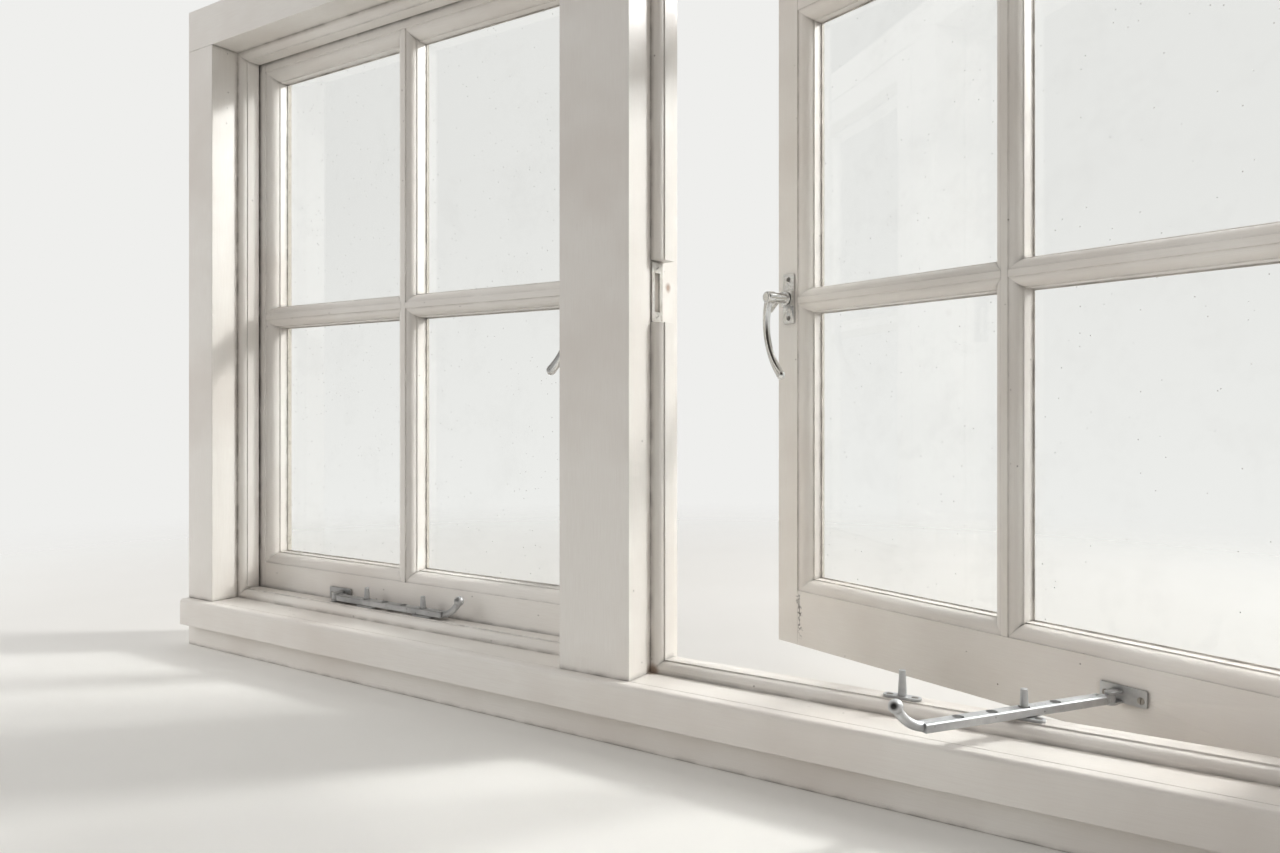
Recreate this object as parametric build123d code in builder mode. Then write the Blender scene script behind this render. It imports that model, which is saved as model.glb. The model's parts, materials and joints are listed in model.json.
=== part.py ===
from build123d import *
import os
from math import acos, atan2, cos, degrees, hypot, pi, radians, sin, tan

# Outer frame: two lights side by side, with +X right, +Y outdoors and +Z up.
# The origin is the middle of the sill's underside. Right-hand pieces are drawn closed.
frame_depth = 117.0
light_width = 650.0
light_height = 821.0
mullion_width = 92.0
jamb_width = 60.0
head_height = 60.0
sill_height = 70.0
rebate_width = 12.0
sill_rebate_drop = 21.0
sill_projection = 38.0
sill_slope = 9.0
sill_nose_radius = 4.0
drip_width = 8.0
drip_depth = 6.0
drip_inset = 12.0
board_thickness = 14.0
board_height = 38.0
board_round = 5.0

# Stop beads planted round each light
bead_depth = 27.0
bead_height = 13.5
bead_ovolo = 8.0
bead_quirk = 1.5
bead_setback = 3.0
bead_gap_above_plate = 2.0

# Casements
leaf_thickness = 45.0
leaf_gap = 2.0
stile_width = 50.0
top_rail_height = 50.0
bottom_rail_height = 85.0
bar_width = 31.0
quirk = 1.5
moulding_fillet = 1.5
stile_ovolo = 14.0
bar_ovolo = 10.0
glass_depth = 28.0
glass_thickness = 3.0
glazing_rebate = 10.0
pane_gap = 1.5
putty_setback = 1.0
putty_sight_gap = 0.5
putty_edge = 0.3

# Butt hinges on the outer face
hinge_length = 75.0
hinge_plate_width = 25.0
hinge_plate_thickness = 2.0
hinge_axis_offset = 4.5
knuckle_radius = 4.2
knuckle_count = 5
knuckle_gap = 0.3
hinge_pin_radius = 2.5
running_clearance = 0.05
pin_head_radius = 3.8
pin_head_height = 2.0
hinge_end_distance = 150.0

# Screws with a slotted countersunk head
screw_head_radius = 3.3
screw_head_height = 1.8
screw_shank_radius = 1.7
screw_length = 12.0
screw_slot_width = 0.9
screw_slot_depth = 0.8
screw_clearance = 0.1
screw_hole_lead = 1.0
handle_slot_lean = 0.35
mortice_slot_lean = 0.5
bracket_slot_lean = 0.2
peg_slot_lean = 0.3

# Fastener plate on the meeting stile and mortice plate on the mullion
plate_width = 19.0
plate_height = 64.0
plate_thickness = 2.5
plate_corner = 1.5
plate_screw_pitch = 50.0
plate_boss_height = 20.0
plate_boss_rise = 4.5
pivot_inset = 21.0
pivot_height = 445.7
mortice_plate_height = 65.0
mortice_plate_width = 21.0
mortice_plate_thickness = 2.0
mortice_screw_pitch = 53.0
mortice_pocket_depth = 11.0
slot_width = 9.5
slot_above_pivot = 5.5
slot_below_pivot = 37.0

# Fastener handle, measured in the plane of the leaf from the pivot
spigot_radius = 4.0
collar_radius = 8.5
collar_height = 2.6
collar_chamfer = 0.8
barrel_radius = 6.5
head_radius = 8.0
head_length = 12.0
head_rounding = 3.0
nose_offset = 19.5
nose_thickness = 8.0
nose_reach = 18.5
nose_drop = 12.5
nose_tip_height = 5.5
nose_tip_slant = 1.0
arm_offset = 36.0
arm_thickness = 9.0
arm_half_widths = (6.0, 4.4, 5.8)
arm_length = 100.0
arm_bow = 4.0
arm_sweep = 21.0
arm_chamfer = 2.6
handle_clearance = 0.3
left_handle_tilt = 5.0

# Casement stay: pegs on the bottom bead, bracket on the bottom rail
peg_first = 317.0
stay_hole_pitch = 36.0
stay_hole_count = 4
stay_first_hole = 66.0
stay_hole_radius = 5.0
peg_base_radius = 3.2
peg_tip_radius = 2.3
peg_height = 24.0
peg_plate_length = 36.0
peg_plate_width = 11.0
peg_plate_thickness = 2.5
peg_screw_pitch = 24.0
stay_offset = 15.0
stay_seat_gap = 0.3
stay_width = 12.5
stay_depth = 8.0
stay_taper_length = 24.0
stay_bar_length = 212.0
stay_edge = 1.0
tail_overlap = 6.0
tail_curl_radius = 36.0
tail_curl_angle = 64.0
tail_radius = 4.2
ball_radius = 6.3
open_hole_index = 1
lift_pin_reach = 12.0
lift_pin_radius = 1.8
ear_radius = 4.0
ear_slot_width = 4.9
ear_slot_beyond_pin = 5.5
tongue_thickness = 4.5
tongue_radius = 3.6
swivel_barrel_radius = 4.5
swivel_barrel_height = 7.0
swivel_spigot_radius = 2.0
lug_radius = 5.0
lug_thickness = 2.4
lug_gap = 0.15
bracket_length = 44.0
bracket_height = 16.0
bracket_thickness = 2.5
bracket_screw_pitch = 33.0
bracket_shift = 5.0

# Planes and edges that the pieces share
room_y = -frame_depth / 2
outer_y = frame_depth / 2
leaf_face_y = outer_y - leaf_thickness
shoulder_y = leaf_face_y - leaf_gap
mullion_reveal = mullion_width / 2
jamb_reveal = mullion_reveal + light_width
frame_half_width = jamb_reveal + jamb_width
head_reveal_z = sill_height + light_height
head_top_z = head_reveal_z + head_height
sill_shoulder_z = sill_height - sill_rebate_drop
leaf_overlap = rebate_width - leaf_gap
leaf_free_x = mullion_reveal - leaf_overlap
leaf_hinge_x = jamb_reveal + leaf_overlap
leaf_bottom_z = sill_shoulder_z + leaf_gap
leaf_top_z = head_reveal_z + leaf_overlap
leaf_width = leaf_hinge_x - leaf_free_x
leaf_height = leaf_top_z - leaf_bottom_z
pane_width = (leaf_width - 2 * stile_width - bar_width) / 2
pane_height = (leaf_height - top_rail_height - bottom_rail_height - bar_width) / 2
bar_centre_x = (leaf_free_x + leaf_hinge_x) / 2
bar_centre_z = leaf_bottom_z + bottom_rail_height + pane_height + bar_width / 2
bead_back_y = leaf_face_y - bead_setback
bead_front_y = bead_back_y - bead_depth
bead_top_z = sill_height + bead_height
bead_middle_y = leaf_face_y - stay_offset
pivot_x = leaf_free_x + pivot_inset
pivot_z = leaf_bottom_z + pivot_height
mortice_centre_z = pivot_z + (slot_above_pivot - slot_below_pivot) / 2
hinge_x = (leaf_hinge_x + jamb_reveal + rebate_width) / 2
hinge_y = outer_y + hinge_axis_offset
hinge_heights = (leaf_bottom_z + hinge_end_distance, leaf_top_z - hinge_end_distance)

# The stay closes over both pegs with its first and last holes.
stay_hole_distances = [stay_first_hole + stay_hole_pitch * i for i in range(stay_hole_count)]
peg_second = peg_first + stay_hole_distances[-1] - stay_hole_distances[0]
swivel_x = peg_second + stay_hole_distances[0]
peg_places = (peg_first, peg_second)
peg_top_of_plate_z = bead_top_z + peg_plate_thickness
lift_z = peg_top_of_plate_z + stay_seat_gap + stay_depth / 2
lift_pin_x = swivel_x - lift_pin_reach

# The opening angle at which the chosen hole drops over the nearer peg, by the law of
# cosines in the triangle of hinge axis, swivel and peg.
hinge_to_swivel = hypot(swivel_x - hinge_x, bead_middle_y - hinge_y)
hinge_to_peg = hypot(peg_second - hinge_x, bead_middle_y - hinge_y)
open_hole_distance = stay_hole_distances[open_hole_index]
angle_at_hinge = acos(
    (hinge_to_swivel**2 + hinge_to_peg**2 - open_hole_distance**2) / (2 * hinge_to_swivel * hinge_to_peg)
)
closed_swivel_bearing = atan2(hinge_y - bead_middle_y, hinge_x - swivel_x)
closed_peg_bearing = atan2(hinge_y - bead_middle_y, hinge_x - peg_second)
leaf_open = degrees(angle_at_hinge + closed_swivel_bearing - closed_peg_bearing)
open_swivel_bearing = closed_swivel_bearing - radians(leaf_open)
open_swivel_x = hinge_x - hinge_to_swivel * cos(open_swivel_bearing)
open_swivel_y = hinge_y - hinge_to_swivel * sin(open_swivel_bearing)
arm_bearing = degrees(atan2(open_swivel_y - bead_middle_y, open_swivel_x - peg_second))
stay_swing = arm_bearing + leaf_open

hinge_line = Axis((hinge_x, hinge_y, 0), (0, 0, 1))
swivel_line = Axis((swivel_x, bead_middle_y, 0), (0, 0, 1))
pivot_line = Axis((pivot_x, leaf_face_y, pivot_z), (0, -1, 0))
leaf_face = Plane(origin=(pivot_x, leaf_face_y, pivot_z), x_dir=(1, 0, 0), z_dir=(0, -1, 0))

os.makedirs("parts", exist_ok=True)


def save(part, node):
    """Label one finished piece and write it to its own file."""
    part.label = node
    export_step(part, f"parts/{node}.step")


def save_both(part, node):
    """Write a piece of the frame for the right light, and its mirror image for the left."""
    save(part, f"right_{node}")
    save(mirror(part, about=Plane.YZ), f"left_{node}")


def save_group(part, node):
    """Write like pieces of both lights as one group of separate solids."""
    with BuildPart() as group:
        add(part)
        add(mirror(part, about=Plane.YZ))
    save(group.part, node)


def save_leaf(part, node):
    """Write a piece of the casement: open on the right, closed and mirrored on the left."""
    save(part.rotate(hinge_line, -leaf_open), f"right_{node}")
    save(mirror(part, about=Plane.YZ), f"left_{node}")


def moulded_edge(at, width, radius):
    """Draw the closed section of a member moulded and rebated on one edge.

    at(u, d) turns the distance from the outer edge and the depth from the room face
    into a sketch point.
    """
    flat = width - radius - moulding_fillet
    bend = radius * (1 - cos(pi / 4))
    Polyline(at(width - moulding_fillet, quirk + radius), at(width, quirk + radius), at(width, glass_depth),
             at(width - glazing_rebate, glass_depth), at(width - glazing_rebate, leaf_thickness),
             at(0, leaf_thickness), at(0, 0), at(flat, 0), at(flat, quirk))
    ThreePointArc(at(flat, quirk), at(flat + radius - bend, quirk + bend), at(flat + radius, quirk + radius))


def moulded_bar(at):
    """Draw the closed section of a glazing bar; at(v, d) takes v from the bar's middle."""
    half = bar_width / 2
    fin = half - glazing_rebate
    nose = half - bar_ovolo - moulding_fillet
    bend = bar_ovolo * (1 - cos(pi / 4))
    foot = quirk + bar_ovolo
    Polyline(at(half - moulding_fillet, foot), at(half, foot), at(half, glass_depth), at(fin, glass_depth),
             at(fin, leaf_thickness), at(-fin, leaf_thickness), at(-fin, glass_depth), at(-half, glass_depth),
             at(-half, foot), at(moulding_fillet - half, foot))
    ThreePointArc(at(moulding_fillet - half, foot), at(bend - bar_ovolo - nose, quirk + bend), at(-nose, quirk))
    Polyline(at(-nose, quirk), at(-nose, 0), at(nose, 0), at(nose, quirk))
    ThreePointArc(at(nose, quirk), at(nose + bar_ovolo - bend, quirk + bend),
                  at(half - moulding_fillet, foot))


def bead_section(at):
    """Draw the closed section of a stop bead; at(y, h) takes h from the reveal it is planted on."""
    shoulder = bead_front_y + bead_ovolo
    bend = bead_ovolo * (1 - cos(pi / 4))
    crown = bead_height - bead_quirk
    Polyline(at(bead_front_y, crown - bead_ovolo), at(bead_front_y, 0), at(bead_back_y, 0),
             at(bead_back_y, bead_height), at(shoulder, bead_height), at(shoulder, crown))
    ThreePointArc(at(shoulder, crown), at(bead_front_y + bend, crown - bend),
                  at(bead_front_y, crown - bead_ovolo))


def slotted_screw():
    """One slotted countersunk screw, head up at the origin."""
    with BuildPart() as screw:
        with BuildSketch(Plane.XZ):
            with BuildLine():
                Polyline((0, 0), (screw_head_radius, 0), (screw_shank_radius, -screw_head_height),
                         (screw_shank_radius, -screw_length), (0, -screw_length), close=True)
            make_face()
        revolve(axis=Axis.Z)
        Box(3 * screw_head_radius, screw_slot_width, 2 * screw_slot_depth, mode=Mode.SUBTRACT)
    return screw.part


def screw_hole():
    """The countersunk hole that a screw sits in, a little larger than the screw all over."""
    head_space = screw_head_radius + screw_clearance
    shank_space = screw_shank_radius + screw_clearance
    bottom = -screw_length - screw_clearance
    with BuildPart() as hole:
        with BuildSketch(Plane.XZ):
            with BuildLine():
                Polyline((0, screw_hole_lead), (head_space, screw_hole_lead), (head_space, 0),
                         (shank_space, -screw_head_height), (shank_space, bottom), (0, bottom), close=True)
            make_face()
        revolve(axis=Axis.Z)
    return hole.part


screw_solid = slotted_screw()
screw_space = screw_hole()


def screws_at(planes):
    """Screws with their heads on the given planes, as one group of solids."""
    with BuildPart() as group:
        with Locations([plane.location for plane in planes]):
            add(screw_solid)
    return group.part


def holes_at(planes):
    """The holes for the same screws."""
    with BuildPart() as group:
        with Locations([plane.location for plane in planes]):
            add(screw_space)
    return group.part


# Where each kind of screw has its head
handle_screw_planes = [
    Plane(origin=(pivot_x, leaf_face_y - plate_thickness, pivot_z + side * plate_screw_pitch / 2),
          x_dir=(1, 0, handle_slot_lean * side), z_dir=(0, -1, 0))
    for side in (-1, 1)
]
mortice_y = leaf_face_y - nose_offset
mortice_screw_planes = [
    Plane(origin=(mullion_reveal + mortice_plate_thickness, mortice_y,
                  mortice_centre_z + side * mortice_screw_pitch / 2),
          x_dir=(0, 1, mortice_slot_lean), z_dir=(1, 0, 0))
    for side in (-1, 1)
]
bracket_centre_x = swivel_x + bracket_shift
bracket_screw_planes = [
    Plane(origin=(bracket_centre_x + side * bracket_screw_pitch / 2, leaf_face_y - bracket_thickness, lift_z),
          x_dir=(bracket_slot_lean, 0, 1), z_dir=(0, -1, 0))
    for side in (-1, 1)
]
peg_screw_planes = [
    Plane(origin=(x + side * peg_screw_pitch / 2, bead_middle_y, peg_top_of_plate_z),
          x_dir=(1, peg_slot_lean, 0), z_dir=(0, 0, 1))
    for x in peg_places
    for side in (-1, 1)
]

# Sill: flat inside, rebated for the casements, weathered slope and drip groove outside
nose_y = outer_y + sill_projection
nose_z = sill_shoulder_z - (nose_y - shoulder_y) * tan(radians(sill_slope))
with BuildPart() as sill:
    with BuildSketch(Plane.YZ):
        with BuildLine():
            Polyline((room_y, 0), (nose_y, 0), (nose_y, nose_z), (shoulder_y, sill_shoulder_z),
                     (shoulder_y, sill_height), (room_y, sill_height), close=True)
        make_face()
        with Locations((nose_y - drip_inset - drip_width / 2, 0)):
            SlotOverall(2 * drip_depth, drip_width, rotation=90, mode=Mode.SUBTRACT)
    extrude(amount=frame_half_width, both=True)
    fillet(sill.edges().filter_by(Axis.X).group_by(Axis.Y)[-1], sill_nose_radius)
save(sill.part, "sill")

# Board on the sill's room face, flush with the sill's flat and rounded at its front edge
with BuildPart() as sill_front_board:
    with BuildSketch(Plane.YZ):
        with Locations((room_y, sill_height)):
            Rectangle(board_thickness, board_height, align=(Align.MAX, Align.MAX))
    extrude(amount=frame_half_width, both=True)
    fillet(sill_front_board.edges().filter_by(Axis.X).group_by(Axis.Z)[-1].sort_by(Axis.Y)[0], board_round)
save(sill_front_board.part, "sill_front_board")

# Head, rebated outside
with BuildPart() as head:
    with BuildSketch(Plane.YZ):
        with BuildLine():
            Polyline((room_y, head_reveal_z), (shoulder_y, head_reveal_z),
                     (shoulder_y, head_reveal_z + rebate_width), (outer_y, head_reveal_z + rebate_width),
                     (outer_y, head_top_z), (room_y, head_top_z), close=True)
        make_face()
    extrude(amount=frame_half_width, both=True)
save(head.part, "head")

# Butt hinges: plates let into jamb and stile, knuckles standing proud outside
knuckle_pitch = hinge_length / knuckle_count


def hinge_half(plate_x, first):
    """One half of both butt hinges; its knuckles are every other one, counted from first."""
    with BuildPart() as half:
        for z in hinge_heights:
            with BuildSketch(Plane.XY.offset(z - hinge_length / 2)):
                with Locations((plate_x, outer_y)):
                    Rectangle(hinge_plate_thickness, hinge_plate_width, align=(Align.MIN, Align.MAX))
            extrude(amount=hinge_length)
            for index in range(first, knuckle_count, 2):
                base = z - hinge_length / 2 + index * knuckle_pitch + knuckle_gap / 2
                with BuildSketch(Plane.XY.offset(base)):
                    with Locations((plate_x, outer_y)):
                        Rectangle(hinge_plate_thickness, hinge_axis_offset, align=(Align.MIN, Align.MIN))
                    with Locations((hinge_x, hinge_y)):
                        Circle(knuckle_radius)
                        Circle(hinge_pin_radius + running_clearance, mode=Mode.SUBTRACT)
                extrude(amount=knuckle_pitch - knuckle_gap)
    return half.part


jamb_rebate_x = jamb_reveal + rebate_width
jamb_hinges = hinge_half(jamb_rebate_x, 0)
leaf_hinges = hinge_half(leaf_hinge_x - hinge_plate_thickness, 1)
save_both(jamb_hinges, "jamb_hinges")
save_leaf(leaf_hinges, "leaf_hinges")

with BuildPart() as hinge_pins:
    for height in hinge_heights:
        with Locations((hinge_x, hinge_y, height)):
            Cylinder(hinge_pin_radius, hinge_length)
        for end in (-1, 1):
            with Locations((hinge_x, hinge_y, height + end * (hinge_length + pin_head_height) / 2)):
                Cylinder(pin_head_radius, pin_head_height)
save_group(hinge_pins.part, "hinge_pins")

# Mortice plate on the mullion's reveal, in the gap between the two lengths of bead
with BuildPart() as mortice_plate:
    with BuildSketch(Plane.YZ.offset(mullion_reveal)):
        with Locations((mortice_y, mortice_centre_z)):
            RectangleRounded(mortice_plate_width, mortice_plate_height, plate_corner)
            Rectangle(slot_width, slot_above_pivot + slot_below_pivot, mode=Mode.SUBTRACT)
    extrude(amount=mortice_plate_thickness)
    add(holes_at(mortice_screw_planes), mode=Mode.SUBTRACT)
save_both(mortice_plate.part, "mortice_plate")

# Pocket for the nose behind the mortice plate, with that plate's screw holes
with BuildPart() as mortice_pocket:
    with BuildSketch(Plane.YZ.offset(mullion_reveal)):
        with Locations((mortice_y, mortice_centre_z)):
            Rectangle(slot_width, slot_above_pivot + slot_below_pivot)
    extrude(amount=-mortice_pocket_depth)
    add(holes_at(mortice_screw_planes))

# Mullion: rebated both sides
with BuildPart() as mullion:
    with BuildSketch(Plane.XY.offset(sill_shoulder_z - rebate_width)):
        with Locations((0, (room_y + shoulder_y) / 2)):
            Rectangle(mullion_width, shoulder_y - room_y)
        with Locations((0, (shoulder_y + outer_y) / 2)):
            Rectangle(mullion_width - 2 * rebate_width, outer_y - shoulder_y)
    extrude(amount=head_reveal_z + 2 * rebate_width - sill_shoulder_z)
    add(sill.part, mode=Mode.SUBTRACT)
    add(head.part, mode=Mode.SUBTRACT)
    add(mortice_pocket.part, mode=Mode.SUBTRACT)
    add(mirror(mortice_pocket.part, about=Plane.YZ), mode=Mode.SUBTRACT)
save(mullion.part, "mullion")
save_group(screws_at(mortice_screw_planes), "mortice_screws")

# Jambs, let in for their hinge plates
with BuildPart() as jamb:
    with BuildSketch(Plane.XY.offset(sill_shoulder_z - rebate_width)):
        with BuildLine():
            Polyline((jamb_reveal, room_y), (frame_half_width, room_y), (frame_half_width, outer_y),
                     (jamb_rebate_x, outer_y), (jamb_rebate_x, shoulder_y), (jamb_reveal, shoulder_y),
                     close=True)
        make_face()
    extrude(amount=head_reveal_z + 2 * rebate_width - sill_shoulder_z)
    add(sill.part, mode=Mode.SUBTRACT)
    add(head.part, mode=Mode.SUBTRACT)
    add(jamb_hinges, mode=Mode.SUBTRACT)
save_both(jamb.part, "jamb")

# Stop beads, mitred at the corners of the light's opening
inner_left = mullion_reveal + bead_height
inner_right = jamb_reveal - bead_height
inner_bottom = bead_top_z
inner_top = head_reveal_z - bead_height
low_left = ((mullion_reveal, sill_height), (inner_left, inner_bottom))
low_right = ((jamb_reveal, sill_height), (inner_right, inner_bottom))
high_left = ((mullion_reveal, head_reveal_z), (inner_left, inner_top))
high_right = ((jamb_reveal, head_reveal_z), (inner_right, inner_top))


def mitre_blank(start, end):
    """A trapezoid from corner to corner of the light, as deep as the bead that is cut from it."""
    with BuildPart() as blank:
        with BuildSketch(Plane.XZ.offset(-bead_back_y)):
            with BuildLine():
                Polyline(start[0], end[0], end[1], start[1], close=True)
            make_face()
        extrude(amount=bead_depth)
    return blank.part


with BuildPart() as bottom_bead:
    with BuildSketch(Plane.YZ.offset(mullion_reveal)):
        with BuildLine():
            bead_section(lambda y, h: (y, sill_height + h))
        make_face()
    extrude(amount=light_width)
    add(mitre_blank(low_left, low_right), mode=Mode.INTERSECT)
    add(holes_at(peg_screw_planes), mode=Mode.SUBTRACT)
save_both(bottom_bead.part, "bottom_bead")

with BuildPart() as top_bead:
    with BuildSketch(Plane.YZ.offset(mullion_reveal)):
        with BuildLine():
            bead_section(lambda y, h: (y, head_reveal_z - h))
        make_face()
    extrude(amount=light_width)
    add(mitre_blank(high_left, high_right), mode=Mode.INTERSECT)
save_both(top_bead.part, "top_bead")

with BuildPart() as jamb_bead:
    with BuildSketch(Plane.XY.offset(sill_height)):
        with BuildLine():
            bead_section(lambda y, h: (jamb_reveal - h, y))
        make_face()
    extrude(amount=light_height)
    add(mitre_blank(low_right, high_right), mode=Mode.INTERSECT)
save_both(jamb_bead.part, "jamb_bead")

with BuildPart() as mullion_bead:
    with BuildSketch(Plane.XY.offset(sill_height)):
        with BuildLine():
            bead_section(lambda y, h: (mullion_reveal + h, y))
        make_face()
    extrude(amount=light_height)
    add(mitre_blank(low_left, high_left), mode=Mode.INTERSECT)
    with BuildSketch(Plane.XY.offset(mortice_centre_z - mortice_plate_height / 2)):
        with Locations((mullion_reveal, bead_back_y - bead_depth / 2)):
            Rectangle(4 * bead_height, 2 * bead_depth)
    extrude(amount=mortice_plate_height + bead_gap_above_plate, mode=Mode.SUBTRACT)
save_both(mullion_bead.part, "mullion_bead")

# Casement stiles: full height, moulded and rebated for the glass
handle_holes = holes_at(handle_screw_planes)
with BuildPart() as meeting_stile:
    with BuildSketch(Plane.XY.offset(leaf_bottom_z)):
        with BuildLine():
            moulded_edge(lambda u, d: (leaf_free_x + u, leaf_face_y + d), stile_width, stile_ovolo)
        make_face()
    extrude(amount=leaf_height)
    add(handle_holes, mode=Mode.SUBTRACT)

with BuildPart() as hinge_stile:
    with BuildSketch(Plane.XY.offset(leaf_bottom_z)):
        with BuildLine():
            moulded_edge(lambda u, d: (leaf_hinge_x - u, leaf_face_y + d), stile_width, stile_ovolo)
        make_face()
    extrude(amount=leaf_height)
    add(leaf_hinges, mode=Mode.SUBTRACT)

# Rails, scribed over the stiles' mouldings
with BuildPart() as bottom_rail:
    with BuildSketch(Plane.YZ.offset(leaf_free_x)):
        with BuildLine():
            moulded_edge(lambda u, d: (leaf_face_y + d, leaf_bottom_z + u), bottom_rail_height, stile_ovolo)
        make_face()
    extrude(amount=leaf_width)
    add(meeting_stile.part, mode=Mode.SUBTRACT)
    add(hinge_stile.part, mode=Mode.SUBTRACT)
    add(holes_at(bracket_screw_planes), mode=Mode.SUBTRACT)

with BuildPart() as top_rail:
    with BuildSketch(Plane.YZ.offset(leaf_free_x)):
        with BuildLine():
            moulded_edge(lambda u, d: (leaf_face_y + d, leaf_top_z - u), top_rail_height, stile_ovolo)
        make_face()
    extrude(amount=leaf_width)
    add(meeting_stile.part, mode=Mode.SUBTRACT)
    add(hinge_stile.part, mode=Mode.SUBTRACT)

# Glazing bars: the upright one runs through, the level one is in two halves
with BuildPart() as vertical_bar:
    with BuildSketch(Plane.XY.offset(leaf_bottom_z)):
        with BuildLine():
            moulded_bar(lambda v, d: (bar_centre_x + v, leaf_face_y + d))
        make_face()
    extrude(amount=leaf_height)
    add(bottom_rail.part, mode=Mode.SUBTRACT)
    add(top_rail.part, mode=Mode.SUBTRACT)

with BuildPart() as horizontal_bars:
    with BuildSketch(Plane.YZ.offset(leaf_free_x)):
        with BuildLine():
            moulded_bar(lambda v, d: (leaf_face_y + d, bar_centre_z + v))
        make_face()
    extrude(amount=leaf_width)
    add(meeting_stile.part, mode=Mode.SUBTRACT)
    add(hinge_stile.part, mode=Mode.SUBTRACT)
    add(vertical_bar.part, mode=Mode.SUBTRACT)

save_leaf(meeting_stile.part, "meeting_stile")
save_leaf(hinge_stile.part, "hinge_stile")
save_leaf(bottom_rail.part, "bottom_rail")
save_leaf(top_rail.part, "top_rail")
save_leaf(vertical_bar.part, "vertical_bar")
save_leaf(horizontal_bars.part, "horizontal_bars")

# Glass and the putty that holds it from outside
pane_pitch_x = pane_width + bar_width
pane_pitch_z = pane_height + bar_width
glass_plane = Plane(origin=(bar_centre_x, leaf_face_y + glass_depth, bar_centre_z), x_dir=(1, 0, 0),
                    z_dir=(0, -1, 0))


def pane_row(side):
    """The two panes beside each other above (1) or below (-1) the level bar."""
    margin = 2 * (glazing_rebate - pane_gap)
    with BuildPart() as row:
        with BuildSketch(glass_plane):
            with Locations([(across * pane_pitch_x / 2, side * pane_pitch_z / 2) for across in (-1, 1)]):
                Rectangle(pane_width + margin, pane_height + margin)
        extrude(amount=-glass_thickness)
    return row.part


save_leaf(pane_row(1), "upper_panes")
save_leaf(pane_row(-1), "lower_panes")

pane_centres = [
    (across * pane_pitch_x / 2, rise * pane_pitch_z / 2) for across in (-1, 1) for rise in (-1, 1)
]
putty_depth = leaf_thickness - glass_depth - glass_thickness - putty_setback
putty_margin = 2 * glazing_rebate
with BuildPart() as putty:
    with BuildSketch(glass_plane.offset(-glass_thickness)):
        with Locations(pane_centres):
            Rectangle(pane_width + putty_margin, pane_height + putty_margin)
    extrude(amount=-putty_depth)
    for centre in pane_centres:
        with BuildSketch(glass_plane.offset(-glass_thickness)):
            with Locations(centre):
                Rectangle(pane_width + 2 * putty_sight_gap, pane_height + 2 * putty_sight_gap)
        with BuildSketch(glass_plane.offset(-glass_thickness - putty_depth)):
            with Locations(centre):
                Rectangle(pane_width + putty_margin - 2 * putty_edge,
                          pane_height + putty_margin - 2 * putty_edge)
        loft(mode=Mode.SUBTRACT)
save_leaf(putty.part, "putty")

# Fastener plate: screwed flat, with a square boss bored for the handle's spigot
with BuildPart() as handle_plate:
    with BuildSketch(leaf_face):
        RectangleRounded(plate_width, plate_height, plate_corner)
    extrude(amount=plate_thickness)
    with BuildSketch(leaf_face.offset(plate_thickness)):
        Rectangle(plate_width, plate_boss_height)
    extrude(amount=plate_boss_rise)
    with BuildSketch(leaf_face.offset(plate_thickness / 2)):
        Circle(spigot_radius + running_clearance)
    extrude(amount=plate_thickness + plate_boss_rise, mode=Mode.SUBTRACT)
    add(handle_holes, mode=Mode.SUBTRACT)
save_leaf(handle_plate.part, "handle_plate")
save_leaf(screws_at(handle_screw_planes), "handle_screws")

# Fastener handle: spigot, collar, barrel, nose towards the mullion and a comma-shaped arm
collar_base = plate_thickness + plate_boss_rise + handle_clearance
barrel_base = collar_base + collar_height
spigot_base = plate_thickness / 2 + handle_clearance


def beside(line, place, distance):
    """The point that lies a distance to one side of a place along a flat line."""
    direction = line % place
    return line @ place + Vector(-direction.Y, direction.X) * distance


with BuildPart() as handle:
    with BuildSketch(leaf_face.offset(arm_offset - arm_thickness / 2)):
        with BuildLine():
            spine = ThreePointArc((0, 0), (-arm_bow, -arm_length / 2), (arm_sweep, -arm_length),
                                  mode=Mode.PRIVATE)
            widths = list(zip((0, 0.5, 1), arm_half_widths))
            end_width = arm_half_widths[-1]
            ThreePointArc(*[beside(spine, place, width) for place, width in widths])
            ThreePointArc(beside(spine, 1, end_width), spine @ 1 + (spine % 1) * end_width,
                          beside(spine, 1, -end_width))
            ThreePointArc(*[beside(spine, place, -width) for place, width in reversed(widths)])
            Line(beside(spine, 0, -arm_half_widths[0]), beside(spine, 0, arm_half_widths[0]))
        make_face()
    extrude(amount=arm_thickness)
    rims = handle.edges().filter_by(GeomType.CIRCLE)
    chamfer(rims.group_by(Axis.Y)[0] + rims.group_by(Axis.Y)[-1], arm_chamfer)
    with BuildSketch(leaf_face.offset(arm_offset - head_length / 2)):
        Circle(head_radius)
    extrude(amount=head_length)
    fillet(handle.edges().filter_by(GeomType.CIRCLE).sort_by(Axis.Y)[0], head_rounding)
    with BuildSketch(leaf_face.offset(collar_base)):
        Circle(collar_radius)
    extrude(amount=collar_height)
    chamfer(handle.edges().filter_by(GeomType.CIRCLE).sort_by(Axis.Y)[-2], collar_chamfer)
    with BuildSketch(leaf_face.offset(spigot_base)):
        Circle(spigot_radius)
    extrude(amount=collar_base - spigot_base)
    with BuildSketch(leaf_face.offset(barrel_base)):
        Circle(barrel_radius)
    extrude(amount=arm_offset - barrel_base)
    with BuildSketch(leaf_face.offset(nose_offset - nose_thickness / 2)):
        with BuildLine():
            Polyline((0, barrel_radius / 2), (-nose_reach, -nose_drop),
                     (-nose_reach + nose_tip_slant, -nose_drop - nose_tip_height),
                     (0, -barrel_radius / 2), close=True)
        make_face()
    extrude(amount=nose_thickness)
save(handle.part.rotate(hinge_line, -leaf_open), "right_handle")
save(mirror(handle.part.rotate(pivot_line, left_handle_tilt), about=Plane.YZ), "left_handle")

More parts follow.
